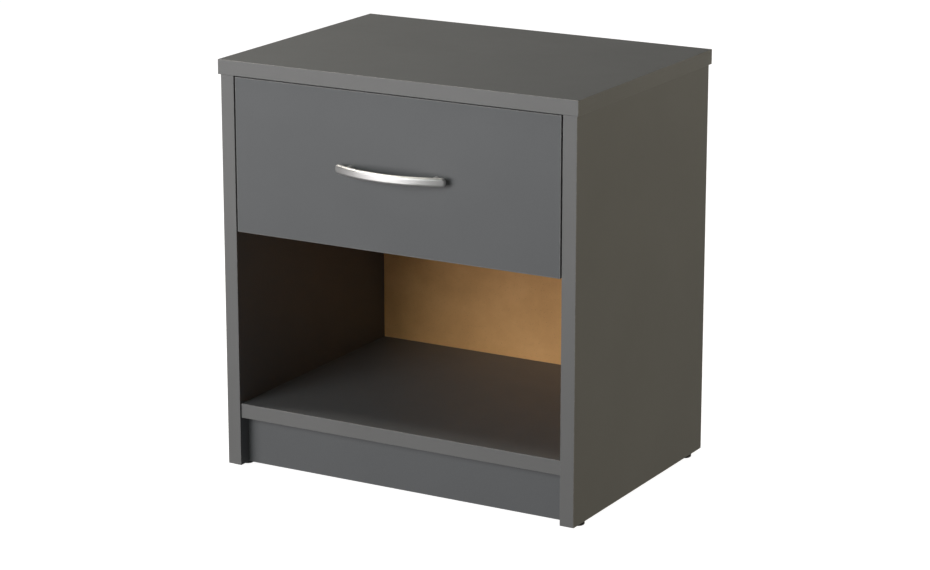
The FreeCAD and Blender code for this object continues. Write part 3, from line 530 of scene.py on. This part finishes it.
# A thread has this many rings a turn, and its crest rises over this share of a turn on either side.
TURN_RINGS = 6
CREST_HALF_WIDTH = 0.26
TIP_TAPER = 2.2
RUN_IN = 0.15

NAIL_TIP = 2.2
FLUTE_DEPTH = 0.3
CHAMFER = 1.1


def cross(arm):
    """The outline of a cross recess whose arms reach this far; their corners lie on ring angles."""

    def reach(angle):
        turn = (angle + math.pi / 4) % (math.pi / 2) - math.pi / 4
        return min(arm / math.cos(turn), arm * ARM_SLOPE / max(abs(math.sin(turn)), 1e-6))

    return reach


def fluted(radius, groove):
    """A round outline with a small groove at every second angle."""
    return lambda angle: radius - groove * (ANGLES.index(angle) % 2)


def ridge(radius, core, phase):
    """A slice of a screw thread: the crest stands where the phase and the angle meet."""

    def reach(angle):
        offset = abs((phase - angle / (2 * math.pi)) % 1 - 0.5)
        return core + (radius - core) * max(0.0, 1 - offset / CREST_HALF_WIDTH)

    return reach


def threaded(start, end, radius, core, pitch, tip):
    """Rings of a thread from start to end, narrowing to the tip's radius over the last stretch."""
    count = max(2, round((end - start) / pitch * TURN_RINGS))
    rings = []
    for step in range(count + 1):
        height = start + (end - start) * step / count
        narrowing = min(1.0, (end - height) / (TIP_TAPER * radius))
        crest = tip + (radius - tip) * narrowing
        bottom = tip + (core - tip) * narrowing
        rings.append((height, ridge(crest, bottom, height / pitch)))
    return rings


def pan_head(radius, height):
    """A low domed head with a cross recess."""
    arm = 0.52 * radius
    return [
        (0.75 * height, cross(0.55 * arm)), (0.0, cross(arm)), (0.0, 0.62 * radius),
        (0.10 * height, 0.80 * radius), (0.32 * height, 0.94 * radius), (0.62 * height, radius),
        (0.94 * height, radius), (height, 0.96 * radius),
    ]


def flat_head(radius, height):
    """A countersunk head with a cross recess."""
    arm = 0.55 * radius
    return [
        (0.8 * height, cross(0.5 * arm)), (0.0, cross(arm)), (0.0, 0.95 * radius),
        (0.06 * height, radius), (0.14 * height, radius),
    ]


def wood_screw(length, head, head_radius, head_height, radius, pitch):
    """A pointed screw with a coarse thread and a plain neck."""
    core = 0.68 * radius
    shank = 0.8 * radius
    neck = head_height + 0.12 * (length - head_height)
    thread = threaded(neck + RUN_IN, length, radius, core, pitch, 0.12)
    return [*head(head_radius, head_height), (head_height, shank), (neck, shank), *thread]


def machine_screw(length, head, head_radius, head_height, radius, pitch):
    """A blunt screw with a fine thread below a plain neck."""
    core = 0.82 * radius
    neck = head_height + 0.4 * (length - head_height)
    thread = threaded(neck + RUN_IN, length - 0.5, radius, core, pitch, 0.8 * radius)
    top = head(head_radius, head_height)
    return [*top, (head_height, core), (neck, core), *thread, (length, 0.6 * radius)]


def nail(length, head_radius, head_height, radius):
    """A nail with a domed head and a sharp point."""
    return [
        (0.0, 0.25 * head_radius), (0.12 * head_height, 0.60 * head_radius),
        (0.38 * head_height, 0.86 * head_radius), (0.70 * head_height, head_radius),
        (head_height, 0.96 * head_radius), (head_height, radius), (length - NAIL_TIP, radius),
        (length, 0.1),
    ]


def dowel(length, radius):
    """A fluted dowel with chamfered ends."""
    flutes = fluted(radius, FLUTE_DEPTH)
    return [(0.0, 0.74 * radius), (CHAMFER, flutes), (length - CHAMFER, flutes), (length, 0.74 * radius)]


def cam_bolt(length, radius, core, collar, neck, head):
    """A bolt for a cam: a coarse thread, a collar, a slim neck and a rounded head."""
    thread_end, collar_end, head_start = 10.5, 29.5, length - 3.0
    thread = threaded(0.3, thread_end, radius, core, pitch=1.9, tip=1.9)
    return [
        (0.0, 1.4), *thread, (thread_end, collar), (collar_end - 0.6, collar), (collar_end, 2.3),
        (collar_end, neck), (head_start, neck), (head_start, 2.7), (head_start + 0.5, head),
        (length - 0.9, head), (length - 0.3, 2.8), (length, 2.0),
    ]


def solids(node):
    """The box of each separate solid of a CAD node."""
    mesh = NODES[node].data
    keys = [tuple(round(part, WELD_DIGITS) for part in vertex.co) for vertex in mesh.vertices]
    parent = {key: key for key in keys}

    def root(key):
        while parent[key] != key:
            key = parent[key]
        return key

    for polygon in mesh.polygons:
        first, *others = (root(keys[index]) for index in polygon.vertices)
        for other in others:
            parent[other] = first
    groups = {}
    for key in parent:
        groups.setdefault(root(key), []).append(key)
    boxes = [(Vector(map(min, zip(*group))), Vector(map(max, zip(*group)))) for group in groups.values()]
    return sorted(boxes, key=lambda corners: tuple(corners[0]))


def detail(name, node, body, slot, material, signs, make_rings, sizes):
    """Replace a node's plain fasteners by detailed ones in the same places, as one piece.

    signs holds, for each axis, which way the rings of a fastener on it run: a sign, or "in" or
    "out" for towards or away from the table's middle. make_rings gets its length and the sizes,
    in millimetres.
    """
    vertices = []
    faces = []
    count = len(ANGLES)
    for low, high in solids(node):
        size = high - low
        axis = max(range(3), key=lambda index: size[index])
        middle = (low + high) / 2
        sign = signs["xyz"[axis]]
        if sign in ("in", "out"):
            inwards = -1 if middle[axis] > 0 else 1
            sign = inwards if sign == "in" else -inwards
        way = Vector((0.0, 0.0, 0.0))
        way[axis] = sign
        origin = middle.copy()
        origin[axis] = low[axis] if sign > 0 else high[axis]
        place = Matrix.Translation(origin) @ way.to_track_quat("Z", "Y").to_matrix().to_4x4()
        first = len(vertices)
        rings = make_rings(size[axis] / MM, **sizes)
        for height, reach in rings:
            for angle in ANGLES:
                radius = reach(angle) if callable(reach) else reach
                point = Vector((radius * math.cos(angle), radius * math.sin(angle), height))
                vertices.append(place @ (point * MM))
        last = first + (len(rings) - 1) * count
        for start in range(first, last, count):
            for corner in range(count):
                following = (corner + 1) % count
                above = start + count
                faces.append((start + corner, start + following, above + following, above + corner))
        faces.append(tuple(reversed(range(first, first + count))))
        faces.append(tuple(range(last, last + count)))
    mesh = bpy.data.meshes.new(name)
    mesh.from_pydata(vertices, [], faces)
    mesh.shade_smooth()
    mesh.set_sharp_from_angle(angle=SHARP)
    mesh.materials.append(material)
    piece = bpy.data.objects.new(name, mesh)
    bpy.context.scene.collection.objects.link(piece)
    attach(piece, body)
    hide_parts(node)


FLAT_PACK = {"x": "in", "y": 1, "z": -1}
NAIL = {"head_radius": 2.2, "head_height": 0.6, "radius": 0.8}
HANDLE_SCREW = {"head": pan_head, "head_radius": 4.0, "head_height": 2.5, "radius": 2.0, "pitch": 0.7}
BACK_SCREW = {"head": flat_head, "head_radius": 3.4, "head_height": 2.4, "radius": 1.75, "pitch": 1.8}
RUNNER_SCREW = {"head": pan_head, "head_radius": 2.8, "head_height": 1.6, "radius": 1.6, "pitch": 1.4}
CAM_BOLT = {"radius": 2.45, "core": 1.85, "collar": 2.8, "neck": 1.8, "head": 3.2}
DOWEL = {"radius": 3.95}

STEEL_DETAILS = [
    ("BackNails", "back_panel_nails", "carcass", {"y": -1}, nail, NAIL),
    ("HandleScrews", "handle_screws", "drawer", {"y": -1}, machine_screw, HANDLE_SCREW),
    ("DrawerBackScrews", "drawer_back_screws", "drawer", {"x": "in"}, wood_screw, BACK_SCREW),
    ("CabinetRunnerScrews", "cabinet_runner_screws", "carcass", {"x": "out"}, wood_screw, RUNNER_SCREW),
    ("DrawerRunnerScrews", "drawer_runner_screws", "drawer", {"z": 1}, wood_screw, RUNNER_SCREW),
    ("CarcassCamBolts", "carcass_cam_bolts", "carcass", FLAT_PACK, cam_bolt, CAM_BOLT),
    ("DrawerCamBolts", "drawer_cam_bolts", "drawer", FLAT_PACK, cam_bolt, CAM_BOLT),
]
for name, node, body, signs, make_rings, sizes in STEEL_DETAILS:
    detail(name, node, body, "plated_steel", STEEL, signs, make_rings, sizes)
for body in ("carcass", "drawer"):
    name = f"{body.capitalize()}Dowels"
    detail(name, f"{body}_dowels", body, "beech", BEECH, FLAT_PACK, dowel, DOWEL)
